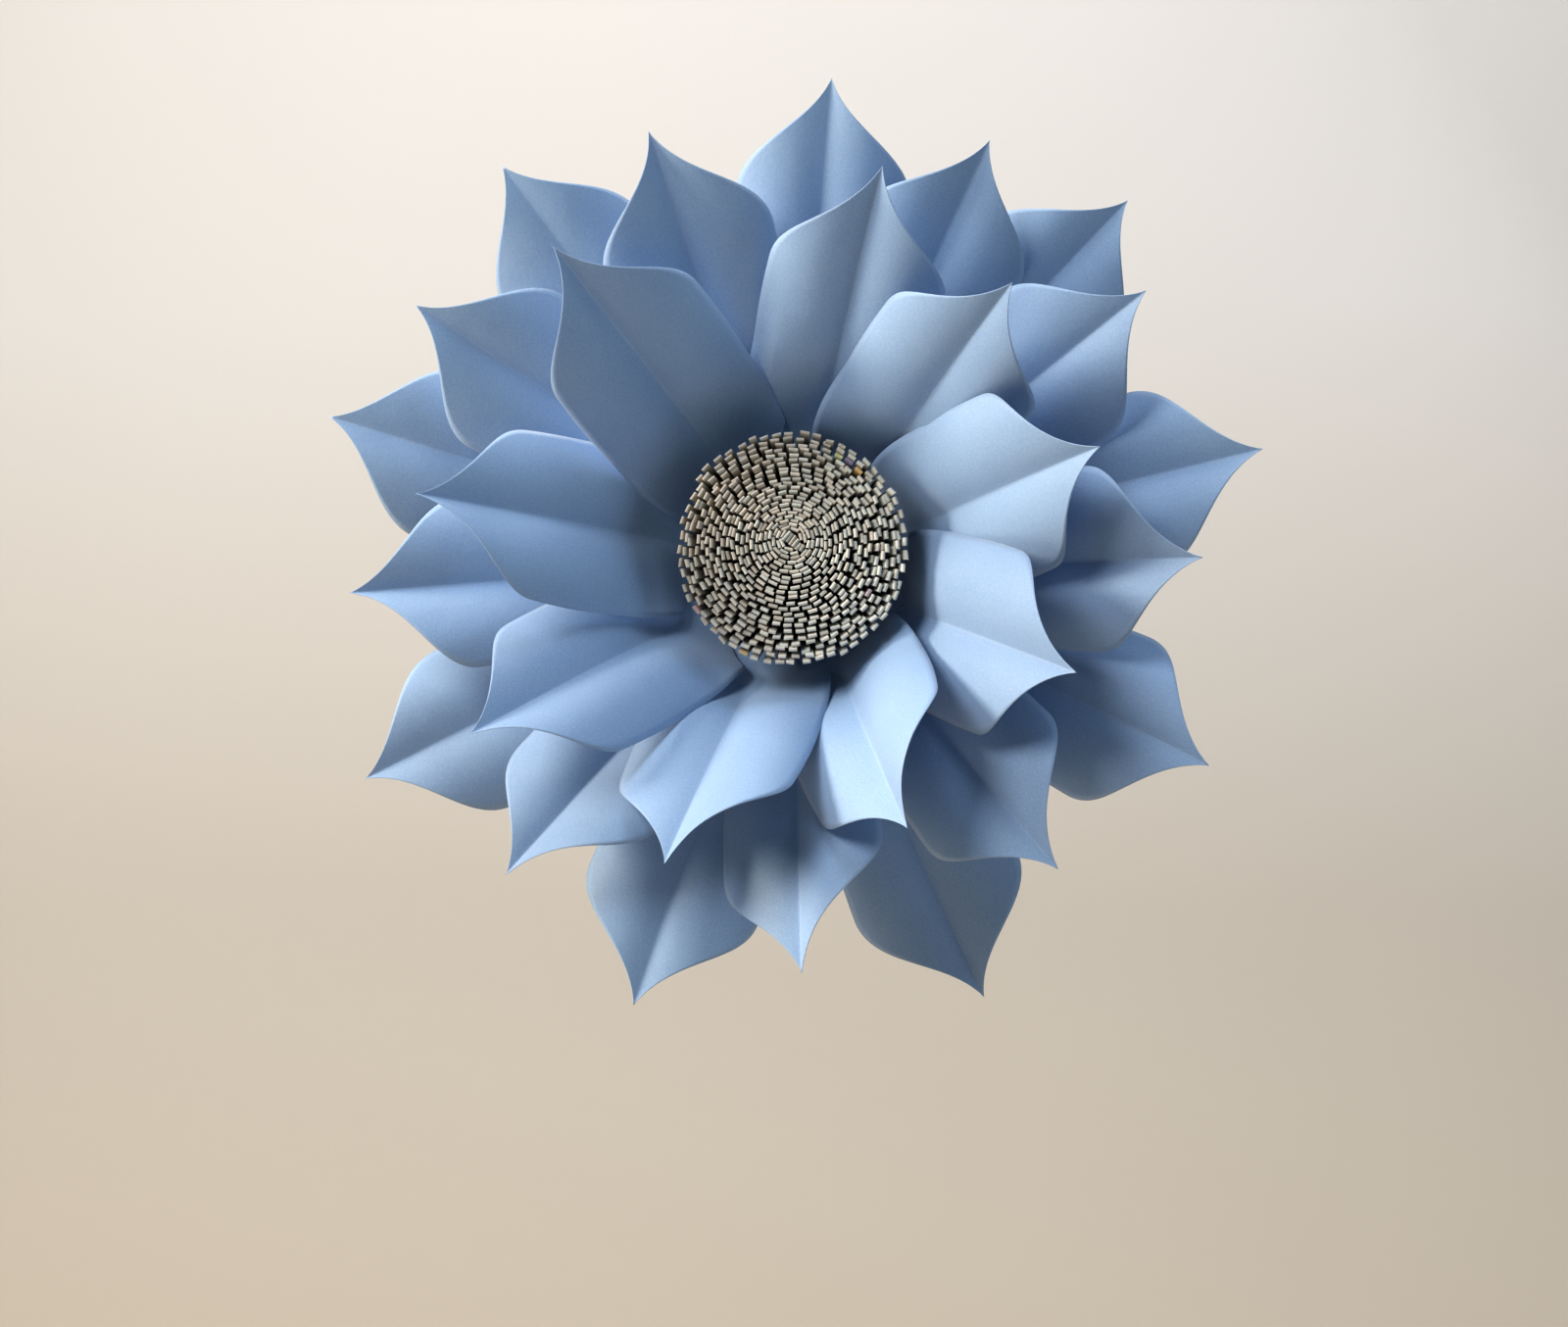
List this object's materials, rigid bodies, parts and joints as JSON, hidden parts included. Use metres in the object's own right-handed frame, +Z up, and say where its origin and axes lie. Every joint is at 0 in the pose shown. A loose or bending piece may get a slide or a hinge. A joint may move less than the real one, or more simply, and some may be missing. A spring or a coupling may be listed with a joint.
{
  "type": "giant paper flower",
  "caption": "Large wall-hung flower of creased, curled card petals layered in rings round a fringed, rolled-up paper centre.",
  "frame": {"origin": "middle of the back face of the card circle, where it goes against the wall", "axes": "the flower faces -Y, +Y goes into the wall, +X is to the right seen from the front and +Z is up"},
  "size_m": [0.5601, 0.1575, 0.5595],
  "materials": {
    "petal_card": "matte light blue card",
    "fringe_paper": "matte grey-beige paper",
    "backing_card": "plain matte card"
  },
  "bodies": {
    "root": {"backing_disc": "backing_card", "centre_roll": "fringe_paper", "outer_petal_1": "petal_card", "outer_petal_2": "petal_card", "outer_petal_3": "petal_card", "outer_petal_4": "petal_card", "outer_petal_5": "petal_card", "outer_petal_6": "petal_card", "outer_petal_7": "petal_card", "outer_petal_8": "petal_card", "outer_petal_9": "petal_card", "middle_petal_1": "petal_card", "middle_petal_2": "petal_card", "middle_petal_3": "petal_card", "middle_petal_4": "petal_card", "middle_petal_5": "petal_card", "middle_petal_6": "petal_card", "middle_petal_7": "petal_card", "middle_petal_8": "petal_card", "middle_petal_9": "petal_card", "inner_petal_1": "petal_card", "inner_petal_2": "petal_card", "inner_petal_3": "petal_card", "inner_petal_4": "petal_card", "inner_petal_5": "petal_card", "inner_petal_6": "petal_card", "inner_petal_7": "petal_card", "inner_petal_8": "petal_card", "inner_petal_9": "petal_card"}
  },
  "joints": []
}
